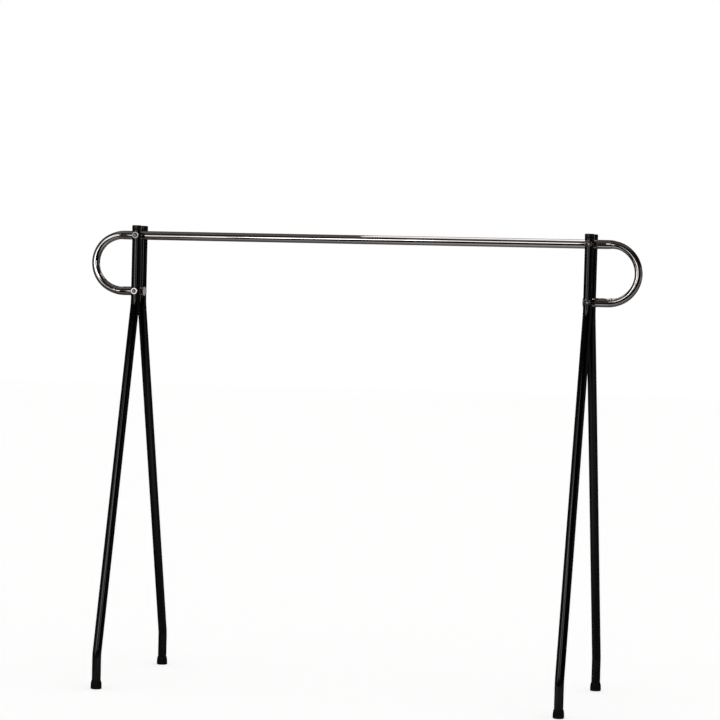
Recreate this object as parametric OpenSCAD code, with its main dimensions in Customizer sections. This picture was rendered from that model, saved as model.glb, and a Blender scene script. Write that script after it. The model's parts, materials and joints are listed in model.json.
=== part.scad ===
// Free-standing garment rail. A round chrome tube is the hanging rail, and each of its ends turns
// down in a half circle and comes back to the end frame. Each end frame is an A of two black tubes
// with the rail clamped between them by two through bolts.
// X runs along the rail, Y from front (-) to rear (+), Z up. The origin is on the floor under the
// middle of the rail. All sizes are in millimetres.

/* [Overall] */
// Height from the floor to the top of the leg caps
rack_h = 1480; // [1400:10:1700]
// Distance between the centre planes of the two end frames
frame_spacing = 1488; // [900:8:1800]
// Distance between the centres of a front and a rear foot
foot_spacing = 674; // [500:2:760]

/* [Tubes] */
// Outer diameter of the rail tube
rail_d = 28.6; // [27:0.1:31]
// Outer diameter of the leg tubes
leg_d = 28.6; // [27:0.1:31]
// Wall thickness of all the tubes
wall = 1.5; // [1.2:0.1:2]

/* [Rail] */
// Drop from the top of the caps to the rail's centre line
rail_drop = 32; // [30:1:60]
// Centre-line radius of the looped ends
loop_r = 91; // [75:1:105]
// Straight stretch between a frame's centre plane and the start of its loop
loop_reach = 60; // [40:1:120]
// How far the returning end of the tube passes the frame's centre plane
return_stub = 18.5; // [18:0.5:40]

/* [Legs] */
// Drop from the lower clamp to the bend where the legs spread apart
spread_drop = 36; // [32:1:160]
// Height of the bend where the legs turn back to vertical
foot_bend_z = 110; // [80:5:180]
// Centre-line radius of both leg bends
leg_bend_r = 100; // [60:5:140]

/* [Saddle spacers] */
// Thickness of a saddle at its thinnest, between the rail tube and a leg
saddle_t = 5.4; // [3:0.1:8]
// Diameter of a saddle
saddle_d = 22; // [18:1:24]
// How far a saddle reaches round each tube
saddle_wrap = 4; // [2:0.5:4]

/* [Fasteners] */
// Thread diameter of the clamp bolts
bolt_d = 8; // [7:0.5:8]
// Diameter of the curved washers
washer_d = 21; // [18:0.5:24]
// Thickness of a curved washer at its crown
washer_t = 1.5; // [1:0.1:3]
// Diameter of the domed bolt heads
head_d = 14; // [12:0.5:16]
// Height of the domed bolt heads
head_h = 4.4; // [4:0.1:5]

/* [Caps and feet] */
// Length of a leg cap
cap_h = 17; // [12:1:18]
// Wall of a leg cap round the tube
cap_wall = 1; // [0.8:0.1:1.6]
// Height of a rubber foot
foot_h = 27; // [22:1:36]
// Wall of a rubber foot round the tube, below its taper
foot_wall = 3.4; // [2:0.1:5]

/* [Hidden] */
$fn = 64;
SKIN = 1;               // how far a cutting shape runs past the face it cuts
FIT = 0.02;             // gap between pieces that touch on curved faces
BEND_SWELL = 0.1;       // how much the wall of a leg thickens in a bend, on each side
BEND_OVERLAP = 1.5;     // how far a leg's straight stretches run into its bends
FRONT = -1;
REAR = 1;
LEFT = -1;
RIGHT = 1;

rail_r = rail_d / 2;
leg_r = leg_d / 2;
rail_z = rack_h - rail_drop;
return_z = rail_z - 2 * loop_r;
spread_bend_z = return_z - spread_drop;
frame_x = frame_spacing / 2;
leg_y = leg_r + saddle_t + rail_r;          // leg centre line to rail centre line, at the top
foot_y = foot_spacing / 2;

cap_top = 4;
cap_edge_r = 3;
foot_base = 5;
foot_edge_r = 4;
foot_taper = 11;
foot_lip = 1.2;
leg_top_z = rack_h - cap_top;
leg_bottom_z = foot_base;

lean = atan((foot_y - leg_y) / (spread_bend_z - foot_bend_z));
slant = norm([foot_y - leg_y, spread_bend_z - foot_bend_z]);
bend_cut = leg_bend_r * tan(lean / 2);      // what a bend takes off the straight on each side of it

bolt_hole_d = bolt_d + 0.6;
bolt_seat_y = leg_y + leg_r + washer_t;     // from the rail's centre line to the washers' flat faces
bolt_end_gap = 4;                           // from the bolt's tip to the end of the cap nut
socket_across = 5;
socket_depth = 2.6;
nut_across = 13;
nut_hex_h = 6.5;
nut_h = 15;
nut_dome_r = 6.2;

plug_insert = 11;
plug_rim_t = 2;
plug_rim_round = 1;

// ---- Building blocks ----

// Cross-section of a tube, with its wall thickened by swell on both sides
module tube_ring(outer_d, swell = 0) {
    difference() {
        circle(d = outer_d + 2 * swell);
        circle(d = outer_d - 2 * (wall + swell));
    }
}

// Straight tube from the origin along +Z
module straight_tube(outer_d, length) {
    linear_extrude(length) tube_ring(outer_d);
}

// Tube that starts at the origin along +Z and bends towards -X
module bent_tube(outer_d, bend_r, angle, swell = 0) {
    translate([-bend_r, 0, 0])
        rotate([90, 0, 0])
            rotate_extrude(angle = angle)
                translate([bend_r, 0])
                    tube_ring(outer_d, swell);
}

// Moves its children to the far end of such a bend, along its new direction
module past_bend(bend_r, angle) {
    translate([bend_r * (cos(angle) - 1), 0, bend_r * sin(angle)])
        rotate([0, -angle, 0])
            children();
}

// Places children made round a bolt, with their +Z pointing away from the rail
module at_clamp(side_y, side_x, z) {
    translate([side_x * frame_x, 0, z])
        rotate([-90 * side_y, 0, 0])
            children();
}

// Hole for a bolt, along the local Z axis
module bolt_hole(length) {
    cylinder(d = bolt_hole_d, h = length, center = true);
}

// Stands children on a foot, facing so that their -X side looks towards the other leg
module at_foot(side_y, side_x) {
    translate([side_x * frame_x, side_y * foot_y, 0])
        rotate([0, 0, 90 * side_y])
            children();
}

// ---- Rail ----

// One end of the rail tube: the stretch outside the frame, the half circle, the stretch back
module rail_loop() {
    translate([frame_x, 0, rail_z])
        rotate([0, 90, 0])
            straight_tube(rail_d, loop_reach);
    translate([frame_x + loop_reach, 0, rail_z])
        rotate([0, 90, 0])
            rotate([0, 0, 180])
                bent_tube(rail_d, loop_r, 180);
    translate([frame_x - return_stub, 0, return_z])
        rotate([0, 90, 0])
            straight_tube(rail_d, loop_reach + return_stub);
}

// The whole chrome tube, drilled across for the four bolts
module rail_tube() {
    color("gainsboro")
        difference() {
            union() {
                translate([-frame_x, 0, rail_z])
                    rotate([0, 90, 0])
                        straight_tube(rail_d, frame_spacing);
                rail_loop();
                mirror([1, 0, 0]) rail_loop();
            }
            for (side_x = [LEFT, RIGHT], z = [rail_z, return_z])
                at_clamp(REAR, side_x, z) bolt_hole(rail_d + 2 * SKIN);
        }
}

// Plug that closes the returning end of the rail tube
module rail_end_plug(side_x) {
    insert_r = rail_r - wall - FIT;
    color("silver")
        translate([side_x * (frame_x - return_stub), 0, return_z])
            rotate([0, -90 * side_x, 0]) {
                translate([0, 0, -plug_insert])
                    cylinder(r = insert_r, h = plug_insert);
                rotate_extrude() {
                    square([rail_r - plug_rim_round, plug_rim_t]);
                    square([rail_r, plug_rim_t - plug_rim_round]);
                    translate([rail_r - plug_rim_round, plug_rim_t - plug_rim_round])
                        intersection() {
                            circle(r = plug_rim_round);
                            square(plug_rim_round);
                        }
                }
            }
}

// ---- Legs ----

// Straight stretch of a leg, running on into the bend before it and the bend after it
module leg_straight(length, into_start, into_end) {
    translate([0, 0, -into_start])
        straight_tube(leg_d, length + into_start + into_end);
}

// Bend of a leg, with its children carried to its far end
module leg_bend() {
    bent_tube(leg_d, leg_bend_r, lean, BEND_SWELL);
    past_bend(leg_bend_r, lean) children();
}

// The whole leg, standing up from its lower end and leaning towards -X between its bends
module leg_shape() {
    lower_straight = foot_bend_z - bend_cut - leg_bottom_z;
    slanted_straight = slant - 2 * bend_cut;
    upper_straight = leg_top_z - spread_bend_z - bend_cut;
    leg_straight(lower_straight, 0, BEND_OVERLAP);
    translate([0, 0, lower_straight])
        leg_bend() {
            leg_straight(slanted_straight, BEND_OVERLAP, BEND_OVERLAP);
            translate([0, 0, slanted_straight])
                rotate([0, 0, 180])
                    leg_bend()
                        leg_straight(upper_straight, BEND_OVERLAP, 0);
        }
}

// Leg tube, drilled for its two bolts
module leg_tube(side_y, side_x) {
    color("#1c1c1e")
        difference() {
            at_foot(side_y, side_x)
                translate([0, 0, leg_bottom_z]) leg_shape();
            for (z = [rail_z, return_z])
                at_clamp(side_y, side_x, z)
                    translate([0, 0, leg_y]) bolt_hole(leg_d + 2 * SKIN);
        }
}

// Plastic cap pushed over the top of a leg, with a rounded rim
module leg_cap(side_y, side_x) {
    outer_r = leg_r + cap_wall;
    color("#202022")
        translate([side_x * frame_x, side_y * leg_y, rack_h - cap_h])
            difference() {
                rotate_extrude() {
                    square([outer_r, cap_h - cap_edge_r]);
                    square([outer_r - cap_edge_r, cap_h]);
                    translate([outer_r - cap_edge_r, cap_h - cap_edge_r])
                        intersection() {
                            circle(r = cap_edge_r);
                            square(cap_edge_r);
                        }
                }
                translate([0, 0, -SKIN])
                    cylinder(r = leg_r + FIT, h = cap_h - cap_top + SKIN);
            }
}

// Rubber foot pushed over the bottom of a leg, tapered at its mouth and rounded at the floor
module foot(side_y, side_x) {
    outer_r = leg_r + foot_wall;
    lip_r = leg_r + foot_lip;
    taper_z = foot_h - foot_taper;
    color("#141414")
        at_foot(side_y, side_x)
            difference() {
                rotate_extrude() {
                    translate([0, foot_edge_r]) square([outer_r, taper_z - foot_edge_r]);
                    square([outer_r - foot_edge_r, taper_z]);
                    polygon([[0, taper_z], [outer_r, taper_z], [lip_r, foot_h], [0, foot_h]]);
                    translate([outer_r - foot_edge_r, foot_edge_r])
                        intersection() {
                            circle(r = foot_edge_r);
                            translate([0, -foot_edge_r]) square(foot_edge_r);
                        }
                }
                translate([0, 0, foot_base])
                    cylinder(r = leg_r + FIT, h = foot_h);
            }
}

// ---- Clamps ----

// Spacer that seats the rail tube against a leg that crosses it
module saddle(side_y, side_x, z) {
    color("#1f1f21")
        at_clamp(side_y, side_x, z)
            difference() {
                translate([0, 0, rail_r - saddle_wrap])
                    cylinder(d = saddle_d, h = saddle_t + 2 * saddle_wrap);
                rotate([0, 90, 0])
                    cylinder(r = rail_r + FIT, h = saddle_d + 2 * SKIN, center = true);
                translate([0, 0, leg_y])
                    rotate([90, 0, 0])
                        cylinder(r = leg_r + FIT, h = saddle_d + 2 * SKIN, center = true);
                translate([0, 0, leg_y]) bolt_hole(2 * leg_y);
            }
}

// Washer with one flat face and one face hollowed to fit round a leg
module curved_washer(side_y, side_x, z) {
    color("gainsboro")
        at_clamp(side_y, side_x, z)
            difference() {
                translate([0, 0, leg_y])
                    cylinder(d = washer_d, h = leg_r + washer_t);
                translate([0, 0, leg_y])
                    rotate([90, 0, 0])
                        cylinder(r = leg_r + FIT, h = washer_d + 2 * SKIN, center = true);
                translate([0, 0, leg_y + leg_r]) bolt_hole(leg_d);
            }
}

// Through bolt with a domed head and a hexagon socket at the front
module clamp_bolt(side_x, z) {
    dome_r = (pow(head_d / 2, 2) + pow(head_h, 2)) / (2 * head_h);
    shank = 2 * bolt_seat_y + nut_h - bolt_end_gap;
    color("whitesmoke")
        at_clamp(FRONT, side_x, z)
            translate([0, 0, bolt_seat_y]) {
                translate([0, 0, -shank])
                    cylinder(d = bolt_d, h = shank);
                difference() {
                    intersection() {
                        cylinder(d = head_d, h = head_h);
                        translate([0, 0, head_h - dome_r]) sphere(r = dome_r);
                    }
                    translate([0, 0, head_h - socket_depth])
                        cylinder(d = socket_across / cos(30), h = socket_depth + SKIN, $fn = 6);
                }
            }
}

// Cap nut on the rear end of a bolt
module cap_nut(side_x, z) {
    dome_z = nut_h - nut_dome_r;
    color("whitesmoke")
        at_clamp(REAR, side_x, z)
            translate([0, 0, bolt_seat_y])
                difference() {
                    union() {
                        cylinder(d = nut_across / cos(30), h = nut_hex_h, $fn = 6);
                        cylinder(r = nut_dome_r, h = dome_z);
                        translate([0, 0, dome_z]) sphere(r = nut_dome_r);
                    }
                    translate([0, 0, -SKIN])
                        cylinder(r = bolt_d / 2 + FIT, h = nut_h - bolt_end_gap + FIT + SKIN);
                }
}

// ---- Assembly ----

rail_tube();
rail_end_plug(LEFT);  // rail_end_plug_left
rail_end_plug(RIGHT);  // rail_end_plug_right

leg_tube(FRONT, LEFT);  // leg_front_left
leg_tube(REAR, LEFT);  // leg_rear_left
leg_tube(FRONT, RIGHT);  // leg_front_right
leg_tube(REAR, RIGHT);  // leg_rear_right

leg_cap(FRONT, LEFT);  // leg_cap_front_left
leg_cap(REAR, LEFT);  // leg_cap_rear_left
leg_cap(FRONT, RIGHT);  // leg_cap_front_right
leg_cap(REAR, RIGHT);  // leg_cap_rear_right

foot(FRONT, LEFT);  // foot_front_left
foot(REAR, LEFT);  // foot_rear_left
foot(FRONT, RIGHT);  // foot_front_right
foot(REAR, RIGHT);  // foot_rear_right

saddle(FRONT, LEFT, rail_z);  // saddle_front_upper_left
saddle(REAR, LEFT, rail_z);  // saddle_rear_upper_left
saddle(FRONT, LEFT, return_z);  // saddle_front_lower_left
saddle(REAR, LEFT, return_z);  // saddle_rear_lower_left
saddle(FRONT, RIGHT, rail_z);  // saddle_front_upper_right
saddle(REAR, RIGHT, rail_z);  // saddle_rear_upper_right
saddle(FRONT, RIGHT, return_z);  // saddle_front_lower_right
saddle(REAR, RIGHT, return_z);  // saddle_rear_lower_right

clamp_bolt(LEFT, rail_z);  // clamp_bolt_upper_left
clamp_bolt(LEFT, return_z);  // clamp_bolt_lower_left
clamp_bolt(RIGHT, rail_z);  // clamp_bolt_upper_right
clamp_bolt(RIGHT, return_z);  // clamp_bolt_lower_right

curved_washer(FRONT, LEFT, rail_z);  // head_washer_upper_left
curved_washer(FRONT, LEFT, return_z);  // head_washer_lower_left
curved_washer(FRONT, RIGHT, rail_z);  // head_washer_upper_right
curved_washer(FRONT, RIGHT, return_z);  // head_washer_lower_right

curved_washer(REAR, LEFT, rail_z);  // nut_washer_upper_left
curved_washer(REAR, LEFT, return_z);  // nut_washer_lower_left
curved_washer(REAR, RIGHT, rail_z);  // nut_washer_upper_right
curved_washer(REAR, RIGHT, return_z);  // nut_washer_lower_right

cap_nut(LEFT, rail_z);  // cap_nut_upper_left
cap_nut(LEFT, return_z);  // cap_nut_lower_left
cap_nut(RIGHT, rail_z);  // cap_nut_upper_right
cap_nut(RIGHT, return_z);  // cap_nut_lower_right
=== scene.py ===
"""Looks of the free-standing garment rail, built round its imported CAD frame. All lengths are in metres."""
import json
import math

import bmesh
import bpy
from mathutils import Matrix, Quaternion, Vector


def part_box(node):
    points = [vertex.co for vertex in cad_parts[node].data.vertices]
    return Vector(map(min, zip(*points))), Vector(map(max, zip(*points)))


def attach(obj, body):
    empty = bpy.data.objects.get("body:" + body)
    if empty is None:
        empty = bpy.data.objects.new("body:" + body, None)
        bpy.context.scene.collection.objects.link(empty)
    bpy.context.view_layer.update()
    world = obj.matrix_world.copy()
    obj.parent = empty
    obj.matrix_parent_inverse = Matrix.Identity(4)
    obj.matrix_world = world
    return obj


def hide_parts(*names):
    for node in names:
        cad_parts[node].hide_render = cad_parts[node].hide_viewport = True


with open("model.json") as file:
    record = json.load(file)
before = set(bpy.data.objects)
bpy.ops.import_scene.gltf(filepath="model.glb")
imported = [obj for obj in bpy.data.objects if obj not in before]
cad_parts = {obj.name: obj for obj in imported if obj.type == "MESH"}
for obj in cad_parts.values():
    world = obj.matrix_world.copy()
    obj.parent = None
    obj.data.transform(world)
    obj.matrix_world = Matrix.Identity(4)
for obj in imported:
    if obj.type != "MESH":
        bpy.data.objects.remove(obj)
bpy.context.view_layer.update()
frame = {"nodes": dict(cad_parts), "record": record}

# ---- Sizes, from the frame and from the few driving values of the CAD source that it doesn't hold ----

SPREAD_BEND_Z = 1.230  # height of the legs' upper bend
FOOT_BEND_Z = 0.110  # height of the legs' lower bend
LEG_BEND_R = 0.100  # centre-line radius of both
TUBE_WALL = 0.0015
FIT = 0.00002  # gap between two pieces that touch on a curved face
CAP_TOP = 0.004  # thickness of a cap over the tube's end
FOOT_BASE = 0.005  # thickness of a foot under the tube's end
PLUG_RIM = 0.002  # how far an end plug stands out of the tube
BOLT_R = 0.004
HEAD_R = 0.007
HEAD_H = 0.0044

MOUNTS = {mount["name"]: mount for mount in frame["record"]["mounts"]}
RAIL_R = MOUNTS["hanging_rail"]["dims"]["r_mm"] / 1000
RAIL_Z = MOUNTS["hanging_rail"]["pos_m"][2]
FOOT_Y = MOUNTS["foot_face_rear_right"]["pos_m"][1]
FRAME_X = MOUNTS["foot_face_rear_right"]["pos_m"][0]
LOOP_R = (RAIL_Z - RAIL_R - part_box("rail_tube")[0].z) / 2
RETURN_Z = RAIL_Z - 2 * LOOP_R
LOOP_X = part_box("rail_tube")[1].x - RAIL_R - LOOP_R
STUB_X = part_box("rail_end_plug_right")[0].x + PLUG_RIM
LEG_R = RAIL_R
CAP_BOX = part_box("leg_cap_rear_right")
LEG_Y = (CAP_BOX[0].y + CAP_BOX[1].y) / 2
CAP_R = (CAP_BOX[1].x - CAP_BOX[0].x) / 2
CAP_LOW_Z = CAP_BOX[0].z
TOP_Z = CAP_BOX[1].z
FOOT_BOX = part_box("foot_rear_right")
FOOT_R = (FOOT_BOX[1].x - FOOT_BOX[0].x) / 2
FOOT_H = FOOT_BOX[1].z
WASHER_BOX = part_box("head_washer_upper_right")
WASHER_R = (WASHER_BOX[1].x - WASHER_BOX[0].x) / 2
SEAT_Y = -WASHER_BOX[0].y  # from the rail's centre line to a washer's flat face
NUT_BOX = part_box("cap_nut_upper_right")
NUT_H = NUT_BOX[1].y - NUT_BOX[0].y
NUT_HALF = (NUT_BOX[1].z - NUT_BOX[0].z) / 2  # half of the nut's larger side

SIDES_Y = {"front": -1, "rear": 1}
SIDES_X = {"left": -1, "right": 1}
LEVELS = {"upper": RAIL_Z, "lower": RETURN_Z}

TUBE_SIDES = 64  # points round the tubes, caps, feet, plugs and washers
FASTENER_SIDES = 48


# ---- Mesh helpers ----

def smooth_step(low, high, value):
    """0 below low, 1 above high, and an even curve between."""
    t = min(1.0, max(0.0, (value - low) / (high - low)))
    return t * t * (3 - 2 * t)


def make_piece(name, bm, node, material, sharp=32):
    """Turns bm into the piece that stands for a CAD node. It is shaded smooth, except at edges that turn by
    more than sharp degrees."""
    bmesh.ops.recalc_face_normals(bm, faces=bm.faces)
    for face in bm.faces:
        face.smooth = True
    for edge in bm.edges:
        edge.smooth = len(edge.link_faces) == 2 and edge.calc_face_angle() < math.radians(sharp)
    mesh = bpy.data.meshes.new(name)
    bm.to_mesh(mesh)
    bm.free()
    piece = bpy.data.objects.new(name, mesh)
    bpy.context.scene.collection.objects.link(piece)
    piece.data.materials.append(material)
    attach(piece, "root")
    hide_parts(node)


def bridge(bm, ring_a, ring_b):
    """Joins two rings of vertices with a band of faces."""
    count = len(ring_a)
    for i in range(count):
        j = (i + 1) % count
        bm.faces.new((ring_a[i], ring_a[j], ring_b[j], ring_b[i]))


def add_tube(bm, stations, outer, inner):
    """Open tube with a bore along stations, each (centre, side, up, place). outer(place, cosine, sine) and
    inner are the radii at a point round the tube, its cosine measured along side and its sine along up."""
    shells = []
    for radius in (outer, inner):
        rings = []
        for centre, side, up, place in stations:
            ring = []
            for k in range(TUBE_SIDES):
                c = math.cos(2 * math.pi * k / TUBE_SIDES)
                s = math.sin(2 * math.pi * k / TUBE_SIDES)
                r = radius(place, c, s)
                ring.append(bm.verts.new(centre + side * (r * c) + up * (r * s)))
            rings.append(ring)
        for a, b in zip(rings, rings[1:]):
            bridge(bm, a, b)
        shells.append(rings)
    for end in (0, -1):
        bridge(bm, shells[0][end], shells[1][end])


def add_lathe(bm, profile, place, count=TUBE_SIDES, outline=None):
    """Closed solid turned about the local Z axis. profile is a list of (radius, height) from the axis at
    one end to the axis at the other. outline(radius, height, angle) may change a point's radius."""
    rings = []
    for radius, height in profile:
        if radius == 0:
            rings.append([bm.verts.new(place @ Vector((0, 0, height)))])
            continue
        ring = []
        for k in range(count):
            angle = 2 * math.pi * k / count
            r = outline(radius, height, angle) if outline else radius
            ring.append(bm.verts.new(place @ Vector((r * math.cos(angle), r * math.sin(angle), height))))
        rings.append(ring)
    for a, b in zip(rings, rings[1:]):
        if len(a) == 1:
            for k in range(count):
                bm.faces.new((a[0], b[k], b[(k + 1) % count]))
        elif len(b) == 1:
            for k in range(count):
                bm.faces.new((a[k], a[(k + 1) % count], b[0]))
        else:
            bridge(bm, a, b)


def arc(centre_r, centre_z, radius, start, end, steps=6):
    """Points of a rounded corner for a lathe profile, its angles in degrees."""
    points = []
    for k in range(steps + 1):
        angle = math.radians(start + (end - start) * k / steps)
        points.append((centre_r + radius * math.cos(angle), centre_z + radius * math.sin(angle)))
    return points


def hexagon(across, angle):
    """Distance from the centre of a hexagon to its outline, at an angle."""
    sixth = math.pi / 3
    return across / 2 / math.cos((angle + sixth / 2) % sixth - sixth / 2)


def at_bolt(side_y, side_x, z):
    """Frame on a bolt's axis, on the rail's centre line, with +Z pointing away from the rail."""
    turn = Matrix.Rotation(math.radians(-90 * side_y), 4, "X")
    return Matrix.Translation((side_x * FRAME_X, 0, z)) @ turn


# ---- Material helpers ----

class Shader:
    """A Principled material under construction."""

    def __init__(self, name, **constants):
        self.material = bpy.data.materials.new(name)
        self.material.use_nodes = True
        self.tree = self.material.node_tree
        self.bsdf = self.tree.nodes["Principled BSDF"]
        for key, value in constants.items():
            self.bsdf.inputs[key.replace("_", " ")].default_value = value
        self.place = self.add("ShaderNodeTexCoord").outputs["Object"]

    def add(self, kind, *links, **settings):
        """New node. links are (input, value or socket) pairs, and settings are its own properties."""
        node = self.tree.nodes.new(kind)
        for key, value in settings.items():
            setattr(node, key, value)
        for key, value in links:
            if isinstance(value, bpy.types.NodeSocket):
                self.tree.links.new(value, node.inputs[key])
            else:
                node.inputs[key].default_value = value
        return node

    def set(self, name, socket):
        """Drives an input of the Principled shader."""
        self.tree.links.new(socket, self.bsdf.inputs[name])

    def math(self, operation, a, b=0.0):
        return self.add("ShaderNodeMath", (0, a), (1, b), operation=operation).outputs[0]

    def plus(self, a, b):
        return self.math("ADD", a, b)

    def times(self, a, b):
        return self.math("MULTIPLY", a, b)

    def axis(self, letter, vector=None):
        """One coordinate of vector, or of the place on the object."""
        split = self.add("ShaderNodeSeparateXYZ", (0, vector or self.place))
        return split.outputs[letter]

    def stretched(self, x, y, z):
        """The object's coordinates, multiplied along each axis."""
        node = self.add("ShaderNodeVectorMath", (0, self.place), (1, (x, y, z)), operation="MULTIPLY")
        return node.outputs[0]

    def noise(self, scale, detail=3.0, roughness=0.5, vector=None):
        node = self.add(
            "ShaderNodeTexNoise",
            ("Vector", vector or self.place),
            ("Scale", scale),
            ("Detail", detail),
            ("Roughness", roughness),
        )
        return node.outputs[0]

    def span(self, value, low, high, to_low=0.0, to_high=1.0):
        """value from low to high becomes to_low to to_high, held at the ends."""
        node = self.add(
            "ShaderNodeMapRange",
            ("Value", value),
            ("From Min", low),
            ("From Max", high),
            ("To Min", to_low),
            ("To Max", to_high),
            interpolation_type="SMOOTHSTEP",
        )
        return node.outputs["Result"]

    def mix(self, factor, a, b):
        """Colour a, turning into colour b as factor goes from 0 to 1."""
        node = self.add("ShaderNodeMix", (0, factor), (6, a), (7, b), data_type="RGBA")
        return node.outputs[2]

    def bump(self, height, distance, strength=1.0, under=None):
        """Normal of a surface with these heights, laid over the normal under it."""
        pairs = [("Height", height), ("Distance", distance), ("Strength", strength)]
        if under is not None:
            pairs.append(("Normal", under))
        return self.add("ShaderNodeBump", *pairs).outputs[0]


def grey(value, warmth=0.0):
    """Opaque grey, turned towards a reddish brown by warmth and towards blue by less than none."""
    return (value * (1 + 2 * warmth), value, value * (1 - warmth), 1)


# ---- Materials ----

def chrome_tube():
    """Bright chrome on drawn tube: draw lines, smudges and fingerprints, and hanger wear along the top."""
    m = Shader("chrome_tube", Metallic=1.0)
    smudge = m.span(m.noise(14, 5, 0.6), 0.48, 0.72)
    prints = m.span(m.noise(70, 4, 0.55), 0.55, 0.75)
    facing_up = m.axis("Z", m.add("ShaderNodeNewGeometry").outputs["Normal"])
    between_legs = m.span(m.math("ABSOLUTE", m.axis("X")), FRAME_X - 0.05, FRAME_X - 0.02, 1, 0)
    on_rail = m.span(m.axis("Z"), RAIL_Z - 0.02, RAIL_Z - 0.01)
    worn = m.times(m.span(facing_up, 0.55, 0.95), m.times(between_legs, on_rail))
    rubs_across = m.span(m.noise(1, 6, 0.7, m.stretched(700, 40, 40)), 0.5, 0.68)
    slides_along = m.span(m.noise(1, 5, 0.65, m.stretched(5, 900, 900)), 0.54, 0.7)
    scratches = m.times(worn, m.math("MAXIMUM", rubs_across, slides_along))

    polished, dulling, scratching = 0.02, 0.03, 0.10  # roughness, and what the marks add to it
    dulled = m.times(m.plus(smudge, prints), dulling)
    m.set("Roughness", m.plus(m.plus(dulled, m.times(scratches, scratching)), polished))
    tone = m.mix(m.span(m.noise(6, 3), 0.35, 0.7), grey(0.85, 0.02), grey(0.78, 0.03))
    m.set("Base Color", m.mix(m.times(scratches, 0.5), tone, grey(0.62, 0.03)))
    draw_lines = m.bump(m.noise(1, 2, 0.5, m.stretched(3, 420, 420)), 0.000004, 0.12)
    m.set("Normal", m.bump(scratches, 0.00001, 0.3, draw_lines))
    return m.material


def black_tube():
    """Gloss black powder coat: orange peel, faint lengthwise scuffs, and dust near the floor."""
    m = Shader("black_tube", Specular_IOR_Level=0.55)
    cloud = m.noise(9, 4, 0.6)
    streaks = m.span(m.noise(1, 6, 0.75, m.stretched(260, 260, 22)), 0.6, 0.74)
    patches = m.span(m.noise(11, 2), 0.5, 0.66)
    scuffed = m.times(streaks, patches)
    near_floor = m.span(m.axis("Z"), 0.03, 0.30, 1, 0)
    dust = m.times(near_floor, m.span(m.noise(45, 5, 0.65), 0.42, 0.72))

    coat = m.mix(cloud, grey(0.0004, -0.02), grey(0.0010, -0.02))
    rubbed = m.mix(m.times(scuffed, 0.6), coat, grey(0.025))
    m.set("Base Color", m.mix(m.times(dust, 0.12), rubbed, grey(0.06, 0.06)))
    scuffing, dusting = 0.2, 0.22  # what they add to the roughness
    rough = m.plus(m.span(cloud, 0.3, 0.7, 0.08, 0.12), m.times(scuffed, scuffing))
    m.set("Roughness", m.plus(rough, m.times(dust, dusting)))
    orange_peel = m.bump(m.noise(420, 2, 0.4), 0.00003, 0.3)
    m.set("Normal", m.bump(scuffed, 0.00004, 0.4, orange_peel))
    return m.material


def black_plastic():
    """Moulded polyethylene with a fine grain, rubbed lighter on its upper rim."""
    m = Shader("black_plastic")
    cloud = m.noise(60, 4, 0.6)
    rim = m.span(m.axis("Z"), TOP_Z - 0.004, TOP_Z - 0.001)
    rub = m.times(rim, m.span(m.noise(300, 4, 0.7), 0.45, 0.65))

    tone = m.mix(cloud, grey(0.004), grey(0.008))
    m.set("Base Color", m.mix(m.times(rub, 0.5), tone, grey(0.04)))
    m.set("Roughness", m.plus(m.span(cloud, 0.3, 0.7, 0.26, 0.34), m.times(rub, 0.1)))
    m.set("Normal", m.bump(m.noise(1900, 2, 0.5), 0.00005, 0.35))
    return m.material


def black_rubber():
    """Matt rubber, scuffed and dusty towards the floor."""
    m = Shader("black_rubber", Specular_IOR_Level=0.22)
    cloud = m.noise(80, 5, 0.65)
    near_floor = m.span(m.axis("Z"), 0.0, 0.012, 1, 0)
    dust = m.times(near_floor, m.span(m.noise(220, 5, 0.7), 0.4, 0.68))

    tone = m.mix(cloud, grey(0.003), grey(0.007))
    m.set("Base Color", m.mix(m.times(dust, 0.3), tone, grey(0.07, 0.08)))
    m.set("Roughness", m.plus(m.span(cloud, 0.3, 0.7, 0.62, 0.78), m.times(dust, 0.15)))
    grain = m.bump(m.noise(2600, 3, 0.6), 0.00008, 0.4)
    m.set("Normal", m.bump(m.noise(260, 3, 0.6), 0.0001, 0.3, grain))
    return m.material


def grey_plastic():
    """Pale grey polyethylene plug, a little marked from handling."""
    m = Shader("grey_plastic")
    cloud = m.noise(120, 4, 0.6)
    marks = m.span(m.noise(420, 5, 0.7), 0.56, 0.72)

    tone = m.mix(cloud, grey(0.68), grey(0.76, 0.01))
    m.set("Base Color", m.mix(m.times(marks, 0.45), tone, grey(0.45, 0.03)))
    m.set("Roughness", m.span(cloud, 0.3, 0.7, 0.42, 0.54))
    m.set("Normal", m.bump(m.noise(1700, 2), 0.00005, 0.3))
    return m.material


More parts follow.
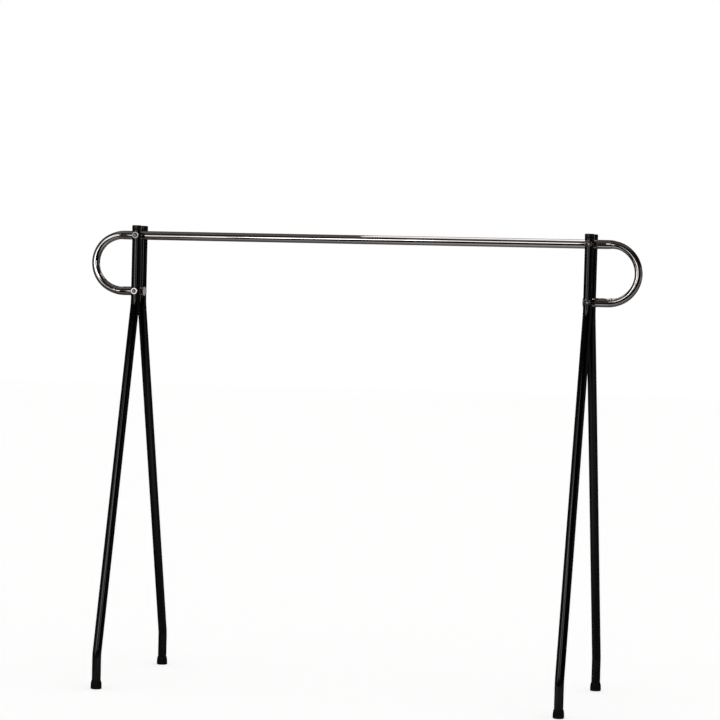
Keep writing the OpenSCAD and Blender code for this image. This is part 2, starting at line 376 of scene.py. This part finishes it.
def plated_steel(name, clean, dull):
    """Plated fasteners, between two greys: turned rings, slight tarnish and small spanner marks."""
    m = Shader(name, Metallic=1.0)
    box_place = m.add("ShaderNodeTexCoord").outputs["Generated"]
    centred = m.add("ShaderNodeVectorMath", (0, box_place), (1, (0.5, 0.0, 0.5)), operation="SUBTRACT")
    flat = m.add("ShaderNodeVectorMath", (0, centred.outputs[0]), (1, (1, 0, 1)), operation="MULTIPLY")
    away = m.add("ShaderNodeVectorMath", (0, flat.outputs[0]), operation="LENGTH").outputs["Value"]
    rings_per_width = 190  # phase of the turned rings' wave over the piece's width
    rings = m.math("SINE", m.times(away, rings_per_width))
    tarnish = m.span(m.noise(160, 4, 0.6), 0.45, 0.7)
    marks = m.span(m.noise(900, 5, 0.7), 0.58, 0.7)

    m.set("Base Color", m.mix(tarnish, grey(clean, 0.01), grey(dull, 0.03)))
    polished, tarnishing, marking = 0.02, 0.03, 0.07  # roughness, and what the rest adds to it
    rough = m.plus(m.times(tarnish, tarnishing), m.times(marks, marking))
    m.set("Roughness", m.plus(rough, polished))
    turned = m.bump(rings, 0.000001, 0.3)
    m.set("Normal", m.bump(marks, 0.000008, 0.4, turned))
    return m.material


MATERIALS = {
    "chrome_tube": chrome_tube(),
    "black_tube": black_tube(),
    "black_plastic": black_plastic(),
    "black_rubber": black_rubber(),
    "grey_plastic": grey_plastic(),
    "bright_steel": plated_steel("bright_steel", 0.72, 0.56),
    # painted shade: the bolt heads take a darker copy of the same plating, standing in for the dark room
    # that their domes reflect
    "shaded_head_steel": plated_steel("shaded_head_steel", 0.44, 0.32),
}


# ---- Rail ----

LOOP_LENGTH = math.pi * LOOP_R
LOOP_STEPS = 72  # parts of each loop
STRAIGHT_STEP = 0.006  # spacing of the rings close to a bend
RUN_IN = 0.03  # length between a frame and the long middle stretch that has close rings too
FLAT_OUTER = {"left": 0.0030, "right": 0.0009}  # how far the bending pulls in a loop's outer wall
FLAT_INNER = {"left": 0.0, "right": 0.0034}  # the same for its inner wall
FLAT_EASE = (-0.012, 0.040)  # the flattening grows between these distances past the start of a loop
# Marks left by the bending: loop, distance along it, length, depth, and where round the tube in degrees
# (0 is the loop's outer side, 90 the rear, 180 the inner side, -90 the front)
BEND_MARKS = [
    ("right", 0.004, 0.0055, -0.0009, -75),
    ("right", 0.020, 0.006, 0.0006, 0),
    ("right", LOOP_LENGTH + 0.003, 0.005, 0.0018, 180),
    ("right", LOOP_LENGTH - 0.010, 0.006, -0.0010, 180),
    ("left", LOOP_LENGTH - 0.004, 0.008, 0.0010, 180),
    ("left", LOOP_LENGTH - 0.016, 0.007, -0.0005, -95),
    ("left", 0.006, 0.008, 0.0008, 180),
]


def rail_path():
    """Centre, in-plane outward direction and place of every ring, from the left return to the right one.
    The place is (side, distance): how far the ring is past the start of the loop, counted from the top
    straight, so that it is negative on the top straight and over LOOP_LENGTH on the return."""
    arms = []
    for name, side in SIDES_X.items():
        rings = []
        reach = LOOP_X - FRAME_X + RUN_IN
        steps = round(reach / STRAIGHT_STEP)
        for k in range(steps, 0, -1):
            d = -reach * k / steps
            rings.append((Vector((side * (LOOP_X + d), 0, RAIL_Z)), Vector((0, 0, 1)), (name, d)))
        middle = Vector((side * LOOP_X, 0, RAIL_Z - LOOP_R))
        for k in range(LOOP_STEPS + 1):
            angle = math.pi * k / LOOP_STEPS
            out = Vector((side * math.sin(angle), 0, math.cos(angle)))
            rings.append((middle + out * LOOP_R, out, (name, LOOP_LENGTH * k / LOOP_STEPS)))
        back = LOOP_X - STUB_X
        steps = round(back / STRAIGHT_STEP)
        for k in range(1, steps + 1):
            d = back * k / steps
            centre = Vector((side * (LOOP_X - d), 0, RETURN_Z))
            rings.append((centre, Vector((0, 0, -1)), (name, LOOP_LENGTH + d)))
        arms.append(rings)
    return arms[0][::-1] + arms[1]


def rail_radius(shrink):
    """Radius round the rail at a place: a circle on the straights, pressed flatter in the loops."""
    def radius(place, c, s):
        name, distance = place
        bent = smooth_step(*FLAT_EASE, distance) * smooth_step(*FLAT_EASE, LOOP_LENGTH - distance)
        pressed = bent * (FLAT_OUTER[name] if c > 0 else FLAT_INNER[name]) * abs(c) ** 2.5
        for side, at, spread, depth, around in BEND_MARKS:
            if side == name:
                facing = c * math.cos(math.radians(around)) + s * math.sin(math.radians(around))
                pressed += depth * max(0.0, facing) ** 2 * math.exp(-(((distance - at) / spread) ** 2))
        return RAIL_R - shrink - pressed
    return radius


def build_rail():
    """The chrome tube, with its bore."""
    bm = bmesh.new()
    across = Vector((0, 1, 0))
    stations = [(centre, out, across, place) for centre, out, place in rail_path()]
    add_tube(bm, stations, rail_radius(0.0), rail_radius(TUBE_WALL))
    make_piece("chrome_rail", bm, "rail_tube", MATERIALS["chrome_tube"])


def build_end_plug(name, side_x):
    """Plug with a chamfered shank, a rounded rim, and a shallow dish with a gate mark in its face."""
    insert_r = RAIL_R - TUBE_WALL - 0.00005
    insert_depth, chamfer = 0.011, 0.0006
    rounding = 0.0012
    dish_r, dish_depth = 0.0098, 0.0007
    gate_r, gate_h = 0.0018, 0.0003
    profile = [(0, -insert_depth), (insert_r - chamfer, -insert_depth), (insert_r, chamfer - insert_depth)]
    profile += [(insert_r, 0), (RAIL_R - 0.0002, 0), (RAIL_R, 0.0002)]
    profile += arc(RAIL_R - rounding, PLUG_RIM - rounding, rounding, 0, 90)
    profile += [(dish_r, PLUG_RIM), (dish_r - 0.001, PLUG_RIM - dish_depth)]
    profile += [(gate_r + 0.0004, PLUG_RIM - dish_depth), (gate_r, PLUG_RIM - dish_depth + gate_h)]
    profile += [(0, PLUG_RIM - dish_depth + gate_h)]
    turn = Matrix.Rotation(math.radians(-90 * side_x), 4, "Y")
    place = Matrix.Translation((side_x * STUB_X, 0, RETURN_Z)) @ turn
    bm = bmesh.new()
    add_lathe(bm, profile, place)
    node = f"rail_end_plug_{name}"
    make_piece(f"end_plug_{name}", bm, node, MATERIALS["grey_plastic"])


# ---- Legs ----

LEAN = math.atan2(FOOT_Y - LEG_Y, SPREAD_BEND_Z - FOOT_BEND_Z)
BEND_STEPS = 8  # parts of each bend of a leg
STRAIGHT_PARTS = 12  # parts of the leaning stretch between its bends


def leg_bend(centre_y, centre_z, side, lean_from, lean_to):
    """Points round one bend of a leg. side is 1 where the leg passes the bend's centre on its outer side."""
    points = []
    for k in range(BEND_STEPS + 1):
        lean = lean_from + (lean_to - lean_from) * k / BEND_STEPS
        out, up = LEG_BEND_R * math.cos(lean), LEG_BEND_R * math.sin(lean)
        points.append((centre_y + side * out, centre_z + side * up, lean))
    return points


def leg_centre_line():
    """(distance from the rail's plane, height, lean) along a leg, from its foot up."""
    cut = LEG_BEND_R * math.tan(LEAN / 2)  # from a bend's corner to where it starts
    lower_bend = leg_bend(FOOT_Y - LEG_BEND_R, FOOT_BEND_Z - cut, 1, 0.0, LEAN)
    upper_bend = leg_bend(LEG_Y + LEG_BEND_R, SPREAD_BEND_Z + cut, -1, LEAN, 0.0)
    low_y, low_z, _ = lower_bend[-1]
    high_y, high_z, _ = upper_bend[0]
    straight = []
    for k in range(1, STRAIGHT_PARTS):
        t = k / STRAIGHT_PARTS
        straight.append((low_y + (high_y - low_y) * t, low_z + (high_z - low_z) * t, LEAN))
    return [(FOOT_Y, FOOT_BASE, 0.0)] + lower_bend + straight + upper_bend + [(LEG_Y, TOP_Z - CAP_TOP, 0.0)]


def build_leg(end, side_y, name, side_x):
    """One black leg tube, with its bore."""
    stations = []
    for y, z, a in leg_centre_line():
        centre = Vector((side_x * FRAME_X, side_y * y, z))
        away = Vector((0, side_y * math.cos(a), math.sin(a)))
        stations.append((centre, Vector((1, 0, 0)), away, z))
    bm = bmesh.new()
    add_tube(bm, stations, lambda z, c, s: LEG_R, lambda z, c, s: LEG_R - TUBE_WALL)
    make_piece(f"black_leg_{end}_{name}", bm, f"leg_{end}_{name}", MATERIALS["black_tube"])


def build_cap(end, side_y, name, side_x):
    """Push-on cap: rounded rim, shallow dished top with a gate mark, and a small lip at its mouth."""
    height = TOP_Z - CAP_LOW_Z
    inside = LEG_R + FIT
    wall_r = CAP_R - 0.0002  # the wall stands back from the lip
    lip_round, lip_h = 0.0004, 0.0022
    rim_round = 0.0028
    dish_r, dish_depth = 0.0108, 0.0004
    gate_r = 0.0016
    profile = [(0, height - CAP_TOP), (inside - 0.001, height - CAP_TOP), (inside, height - CAP_TOP - 0.001)]
    profile += [(inside, 0.0006), (inside + 0.0003, 0)]
    profile += arc(CAP_R - lip_round, lip_round, lip_round, -90, 0, 3)
    profile += [(CAP_R, lip_h), (wall_r, lip_h + 0.0004), (wall_r, height - rim_round - 0.0004)]
    profile += arc(wall_r - rim_round, height - rim_round, rim_round, 0, 90, 8)
    profile += [(dish_r, height), (dish_r - 0.0008, height - dish_depth)]
    profile += [(gate_r + 0.0004, height - dish_depth - 0.0001), (gate_r, height - 0.0001)]
    profile += [(0, height - 0.0001)]
    bm = bmesh.new()
    place = Matrix.Translation((side_x * FRAME_X, side_y * LEG_Y, CAP_LOW_Z))
    add_lathe(bm, profile, place)
    node = f"leg_cap_{end}_{name}"
    make_piece(f"cap_{end}_{name}", bm, node, MATERIALS["black_plastic"])


def build_foot(end, side_y, name, side_x):
    """Rubber ferrule: tapered mouth, a groove under the taper, and a rounded tread with rings."""
    inside = LEG_R + FIT
    lip = LEG_R + 0.0012
    taper_z = FOOT_H - 0.011
    groove = 0.0006
    sole_round = 0.0040
    hollow, tread = 0.0006, 0.0008  # depths of the sole's middle and of the groove round it
    profile = [(0, hollow), (0.0040, hollow), (0.0046, 0), (0.0074, 0), (0.0080, tread), (0.0092, tread)]
    profile += [(0.0098, 0)]
    profile += arc(FOOT_R - sole_round, sole_round, sole_round, -90, 0, 8)
    profile += [(FOOT_R, taper_z - 0.0046), (FOOT_R - groove, taper_z - 0.0040)]
    profile += [(FOOT_R - groove, taper_z - 0.0030), (FOOT_R, taper_z - 0.0024), (FOOT_R, taper_z - 0.001)]
    profile += [(FOOT_R - 0.0003, taper_z + 0.0005), (lip + 0.0002, FOOT_H - 0.0007), (lip - 0.0003, FOOT_H)]
    profile += [(inside + 0.0002, FOOT_H), (inside, FOOT_H - 0.0003), (inside, FOOT_BASE), (0, FOOT_BASE)]
    bm = bmesh.new()
    place = Matrix.Translation((side_x * FRAME_X, side_y * FOOT_Y, 0))
    add_lathe(bm, profile, place)
    node = f"foot_{end}_{name}"
    make_piece(f"rubber_foot_{end}_{name}", bm, node, MATERIALS["black_rubber"])


# ---- Clamps ----

WASHER_HOLE_R = BOLT_R + 0.0003


def build_washer(kind, side_y, level, z, name, side_x):
    """Washer that is flat outside and hollowed inside to sit round a leg, with rounded rims. A ring without
    a height lies on the leg."""
    place = at_bolt(side_y, side_x, z)
    edge = 0.0004
    seat_r = LEG_R + FIT

    def on_leg(x):
        """Distance from the rail's centre line to the leg's surface."""
        return LEG_Y + math.sqrt(seat_r ** 2 - x * x)

    rings = [(WASHER_HOLE_R, None), (WASHER_HOLE_R, SEAT_Y - edge), (WASHER_HOLE_R + edge, SEAT_Y)]
    # two rings close to the edges keep the face between them shaded flat
    rings += [(WASHER_HOLE_R + 1.5 * edge, SEAT_Y), (WASHER_R - 1.5 * edge, SEAT_Y)]
    rings += [(WASHER_R - edge, SEAT_Y), (WASHER_R - 0.3 * edge, SEAT_Y - 0.3 * edge)]
    rings += [(WASHER_R, SEAT_Y - edge), (WASHER_R, None)]
    rings += [(part * WASHER_R, None) for part in (0.85, 0.7, 0.55)]
    bm = bmesh.new()
    loops = []
    for radius, height in rings:
        ring = []
        for k in range(TUBE_SIDES):
            angle = 2 * math.pi * k / TUBE_SIDES
            x, y = radius * math.cos(angle), radius * math.sin(angle)
            ring.append(bm.verts.new(place @ Vector((x, y, on_leg(x) if height is None else height))))
        loops.append(ring)
    for a, b in zip(loops, loops[1:] + loops[:1]):
        bridge(bm, a, b)
    node = f"{kind}_washer_{level}_{name}"
    make_piece(f"washer_{kind}_{level}_{name}", bm, node, MATERIALS["bright_steel"], 50)


def build_bolt(level, z, name, side_x):
    """Button-head bolt with a hexagon socket."""
    dome_r = (HEAD_R ** 2 + HEAD_H ** 2) / (2 * HEAD_H)
    dome_steps = 7
    rim_r = HEAD_R - 0.0001
    flat_r = 0.0036  # the dome ends in a flat ring round the socket
    socket = 0.005
    socket_low = HEAD_H - 0.0026
    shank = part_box(f"clamp_bolt_{level}_{name}")[1].y + SEAT_Y
    profile = [(0, -shank), (BOLT_R - 0.0006, -shank), (BOLT_R, -shank + 0.0008), (BOLT_R, 0)]
    profile += [(HEAD_R - 0.0004, 0), (rim_r, 0.0002)]
    for k in range(dome_steps + 1):
        r = rim_r + (flat_r - rim_r) * k / dome_steps
        profile.append((r, HEAD_H - dome_r + math.sqrt(dome_r ** 2 - r * r) - 0.00005))
    flat_z = profile[-1][1]
    profile += [(flat_r - 0.0002, flat_z), (socket / 2, flat_z - 0.0003)]
    profile += [(socket / 2, socket_low), (0, socket_low - 0.0006)]

    def outline(radius, height, angle):
        return hexagon(socket, angle) if radius == socket / 2 else radius
    bm = bmesh.new()
    place = at_bolt(-1, side_x, z) @ Matrix.Translation((0, 0, SEAT_Y))
    add_lathe(bm, profile, place, FASTENER_SIDES, outline)
    node = f"clamp_bolt_{level}_{name}"
    # the head's darker plating is painted shade
    make_piece(f"bolt_{level}_{name}", bm, node, MATERIALS["shaded_head_steel"], 28)


def build_nut(level, z, name, side_x):
    """Domed cap nut with chamfered corners."""
    across = 2 * NUT_HALF * math.cos(math.pi / 6)
    flat_r = across / 2
    hex_h = 0.0065
    dome_r = 0.0062
    dome_z = NUT_H - dome_r
    bore = BOLT_R + 0.00005
    bore_z = NUT_H - 0.004
    profile = [(0, bore_z), (bore, bore_z), (bore, 0.0004), (bore + 0.0004, 0), (flat_r - 0.0002, 0)]
    profile += [(flat_r + 0.0001, 0.0001), (NUT_HALF - 0.0004, 0.0004), (NUT_HALF, 0.0008)]
    profile += [(NUT_HALF, hex_h - 0.0012), (NUT_HALF - 0.0003, hex_h - 0.0009)]
    profile += [(flat_r + 0.0003, hex_h - 0.0004), (flat_r - 0.0002, hex_h)]
    profile += [(dome_r + 0.0002, hex_h), (dome_r, hex_h + 0.0002)]
    profile += arc(0, dome_z, dome_r, 0, 90, 12)[:-1] + [(0, NUT_H)]

    def outline(radius, height, angle):
        if 0 < height < hex_h and radius > flat_r:
            return min(radius, hexagon(across, angle))
        return radius
    bm = bmesh.new()
    place = at_bolt(1, side_x, z) @ Matrix.Translation((0, 0, SEAT_Y))
    add_lathe(bm, profile, place, FASTENER_SIDES, outline)
    node = f"cap_nut_{level}_{name}"
    make_piece(f"nut_{level}_{name}", bm, node, MATERIALS["bright_steel"], 24)


def dress_saddles():
    """The CAD saddles keep their shape and take the moulded plastic."""
    for node, piece in frame["nodes"].items():
        if node.startswith("saddle_"):
            piece.data.materials.clear()
            piece.data.materials.append(MATERIALS["black_plastic"])


build_rail()
dress_saddles()
for x_name, x_side in SIDES_X.items():
    build_end_plug(x_name, x_side)
    for y_name, y_side in SIDES_Y.items():
        build_leg(y_name, y_side, x_name, x_side)
        build_cap(y_name, y_side, x_name, x_side)
        build_foot(y_name, y_side, x_name, x_side)
    for level_name, level_z in LEVELS.items():
        build_washer("head", -1, level_name, level_z, x_name, x_side)
        build_washer("nut", 1, level_name, level_z, x_name, x_side)
        build_bolt(level_name, level_z, x_name, x_side)
        build_nut(level_name, level_z, x_name, x_side)


# ---- Floor, lights and surroundings ----

WALL_Y = -3.2  # the wall of softboxes stands this far in front of the rail
WALL_LAYER = 0.02  # each next strip of the wall stands this much closer
# Strips of the softbox wall: start (x, z), end (x, z), height, radiance. The gaps between them are what
# the rail shows as black lines, and what leaves the loops' short arms dark.
WALL_STRIPS = [
    ((-3.00, 1.25), (-2.02, 1.25), 1.10, 0.75),
    ((-2.75, 2.35), (-2.02, 2.35), 0.90, 1.50),
    ((-1.856, 0.92), (-1.40, 0.92), 1.02, 1.2),
    ((-1.85, 1.58), (-1.40, 1.58), 0.26, 0.55),
    ((-1.40, 1.12), (-0.60, 2.10), 0.85, 1.4),
    ((-0.60, 2.17), (0.165, 2.17), 1.00, 1.35),
    ((-1.30, 1.25), (-0.50, 2.20), 0.30, 4.3),
    ((0.44, 1.50), (1.40, 1.50), 0.60, 1.3),
]
# Other softboxes: name, centre, direction that it faces, width, height, radiance, warmth
PANELS = [
    ("ceiling_right", (0.188, 0.25, 2.3), (0, 0, -1), 0.797, 0.86, 1.05, 0.01),
    ("side_right", (3.2, 0.5, 1.4), (-1, 0, 0), 2.2, 1.2, 0.09, 0.02),
    ("rear", (1.2, 4.8, 2.6), (-0.2, -0.9, -0.3), 2.4, 2.2, 0.9, 0.0),
]
# The room that the chrome reflects: sine of the elevation as 0 (straight down) to 1 (straight up), grey
# value, warmth
ROOM = [
    (0.0, 0.004, 0.0),
    (0.49, 0.026, 0.07),
    (0.56, 0.048, 0.07),
    (0.64, 0.036, 0.07),
    (0.72, 0.012, 0.07),
    (0.88, 0.022, 0.07),
    (0.935, 0.12, 0.06),
    (0.965, 0.10, 0.06),
    (0.985, 0.035, 0.06),
    (1.0, 0.02, 0.06),
]
ROOM_LEFT, ROOM_RIGHT = 1.35, 0.35  # how strongly it shows on the two sides
ROOM_SIDE_X = 0.8  # X of the directions where those two values are reached
FLOOR_R = 30
FLOOR_WHITE = 0.58  # what the floor adds of its own in the camera's view
FLOOR_BLACK = 0.004  # what is left of it in reflections, outside the glow
SKY_STRENGTH = 1.35


def painted_floor_glow(m):
    """Painted light: how strongly the floor glows in reflections, a painted pool of light under the rack,
    brightest in its middle.
    """
    x, y = m.axis("X"), m.axis("Y")
    left = m.span(x, -1.3, -0.95, 0.08, 0.19)
    middle = m.span(x, -0.6, 0.0, 0.0, 0.11)
    right = m.span(x, 0.5, 0.62, 0.0, -0.12)
    side = m.plus(m.plus(left, middle), right)
    front = m.span(y, -1.75, -1.3)
    rear = m.span(y, -0.9, 0.1, 1.0, 0.35)
    return m.plus(m.times(side, m.times(front, rear)), FLOOR_BLACK)


def floor_material():
    """Matt white that adds a glow of its own to the camera's view. In reflections it is dim except for a
    painted glow, a pool of light under the rack.
    """
    m = Shader("pale_floor", Base_Color=grey(0.9), Roughness=1.0, Specular_IOR_Level=0.0)
    # painted light: in reflections the floor is an emission only, brightest in a painted pool under the rack
    dim = m.add("ShaderNodeEmission", (0, grey(1.0)), (1, painted_floor_glow(m)))
    pale = m.add("ShaderNodeEmission", (0, grey(1.0)), (1, FLOOR_WHITE))
    seen = m.add("ShaderNodeAddShader", (0, pale.outputs[0]), (1, m.bsdf.outputs[0]))
    rays = m.add("ShaderNodeLightPath").outputs
    result = m.bsdf
    for ray, other in (("Is Camera Ray", seen), ("Is Glossy Ray", dim)):
        result = m.add("ShaderNodeMixShader", (0, rays[ray]), (1, result.outputs[0]), (2, other.outputs[0]))
    m.tree.links.new(result.outputs[0], m.tree.nodes["Material Output"].inputs[0])
    return m.material


def build_floor():
    """Pale floor, near white to the eye but dim in the chrome, where a painted glow stands in for a lit
    patch under the rack.
    """
    bm = bmesh.new()
    bmesh.ops.create_circle(bm, cap_ends=True, segments=96, radius=FLOOR_R)
    mesh = bpy.data.meshes.new("floor")
    bm.to_mesh(mesh)
    bm.free()
    floor = bpy.data.objects.new("floor", mesh)
    bpy.context.scene.collection.objects.link(floor)
    mesh.materials.append(floor_material())


def build_world():
    """White behind the object, and a dim brownish room in its reflections, lighter on the left."""
    world = bpy.data.worlds.new("studio")
    bpy.context.scene.world = world
    world.use_nodes = True
    nodes, links = world.node_tree.nodes, world.node_tree.links
    split = nodes.new("ShaderNodeSeparateXYZ")
    links.new(nodes.new("ShaderNodeTexCoord").outputs["Generated"], split.inputs[0])

    height = nodes.new("ShaderNodeMapRange")
    height.inputs["From Min"].default_value = -1.0
    links.new(split.outputs["Z"], height.inputs["Value"])
    ramp = nodes.new("ShaderNodeValToRGB")
    while len(ramp.color_ramp.elements) < len(ROOM):
        ramp.color_ramp.elements.new(0.5)
    for element, (position, value, warmth) in zip(ramp.color_ramp.elements, ROOM):
        element.position = position
        element.color = grey(value, warmth)
    links.new(height.outputs[0], ramp.inputs[0])

    side = nodes.new("ShaderNodeMapRange")
    side.inputs["From Min"].default_value = -ROOM_SIDE_X
    side.inputs["From Max"].default_value = ROOM_SIDE_X
    side.inputs["To Min"].default_value = ROOM_LEFT
    side.inputs["To Max"].default_value = ROOM_RIGHT
    links.new(split.outputs["X"], side.inputs["Value"])

    to_camera = nodes.new("ShaderNodeLightPath").outputs["Is Camera Ray"]
    strength = nodes.new("ShaderNodeMix")
    links.new(to_camera, strength.inputs[0])
    links.new(side.outputs[0], strength.inputs[2])
    strength.inputs[3].default_value = 1.0
    colour = nodes.new("ShaderNodeMix")
    colour.data_type = "RGBA"
    links.new(to_camera, colour.inputs[0])
    links.new(ramp.outputs[0], colour.inputs[6])
    colour.inputs[7].default_value = grey(1.0)
    background = nodes["Background"]
    links.new(colour.outputs[2], background.inputs[0])
    links.new(strength.outputs[0], background.inputs[1])


def softbox(name, centre, towards, width, height, radiance, warmth=0.0, tilt=0.0):
    """Area light of that radiance, seen in reflections only. Its width is level, unless it faces straight
    down or is tilted about the direction that it faces."""
    lamp = bpy.data.lights.new(name, "AREA")
    lamp.shape = "RECTANGLE"
    lamp.size, lamp.size_y = width, height
    lamp.energy = radiance * math.pi * width * height
    lamp.color = grey(1.0, warmth)[:3]
    box = bpy.data.objects.new(name, lamp)
    box.location = centre
    box.rotation_mode = "QUATERNION"
    turn = Quaternion(Vector(towards), tilt)
    box.rotation_quaternion = turn @ Vector(towards).to_track_quat("-Z", "Y")
    box.visible_camera = False
    box.visible_diffuse = False
    bpy.context.scene.collection.objects.link(box)


def build_softboxes():
    """The wall of strips in front of the rail, and the other panels."""
    for k, ((x0, z0), (x1, z1), height, radiance) in enumerate(WALL_STRIPS):
        slope = math.atan2(z1 - z0, x1 - x0)
        centre = ((x0 + x1) / 2, WALL_Y + WALL_LAYER * k, (z0 + z1) / 2)
        length = math.hypot(x1 - x0, z1 - z0)
        softbox(f"window_{k}", centre, (0, 1, 0), length, height * math.cos(slope), radiance, tilt=-slope)
    for panel in PANELS:
        softbox(*panel)


def build_sky_light():
    """Even soft light from above, for the floor and the matt parts."""
    lamp = bpy.data.lights.new("sky", "SUN")
    lamp.energy = SKY_STRENGTH
    lamp.angle = math.radians(110)
    sky = bpy.data.objects.new("sky", lamp)
    sky.rotation_euler = (math.radians(12), math.radians(8), 0)
    sky.visible_glossy = False
    bpy.context.scene.collection.objects.link(sky)


build_floor()
build_world()
build_softboxes()
build_sky_light()


# ---- Camera ----

CAMERA_AT = Vector((2.285942, -9.024102, 1.270857))
# Degrees: turned left, tipped down, and rolled with the right side raised
CAMERA_YAW, CAMERA_PITCH, CAMERA_ROLL = 15.553, 2.733, 1.435
CAMERA_LENS = 145.19  # millimetres, on the 36 mm sensor that Blender starts with
CAMERA_SHIFT = 0.1  # both ways, as the photograph looks like an off-centre crop


def build_camera():
    """Camera at the photographed viewing angle: turned, tipped and rolled about its own line of sight."""
    yaw, pitch, roll = (math.radians(angle) for angle in (CAMERA_YAW, CAMERA_PITCH, CAMERA_ROLL))
    ahead = Vector((-math.sin(yaw) * math.cos(pitch), math.cos(yaw) * math.cos(pitch), -math.sin(pitch)))
    level = Vector((math.cos(yaw), math.sin(yaw), 0))
    above = level.cross(ahead)
    right = level * math.cos(roll) + above * math.sin(roll)
    up = above * math.cos(roll) - level * math.sin(roll)
    data = bpy.data.cameras.new("camera")
    data.lens = CAMERA_LENS
    data.shift_x = data.shift_y = CAMERA_SHIFT
    data.clip_end = 100
    camera = bpy.data.objects.new("camera", data)
    turn = Matrix((right, up, -ahead)).transposed().to_4x4()
    camera.matrix_world = Matrix.Translation(CAMERA_AT) @ turn
    bpy.context.scene.collection.objects.link(camera)
    bpy.context.scene.camera = camera


build_camera()
bpy.context.scene.view_settings.view_transform = "Standard"
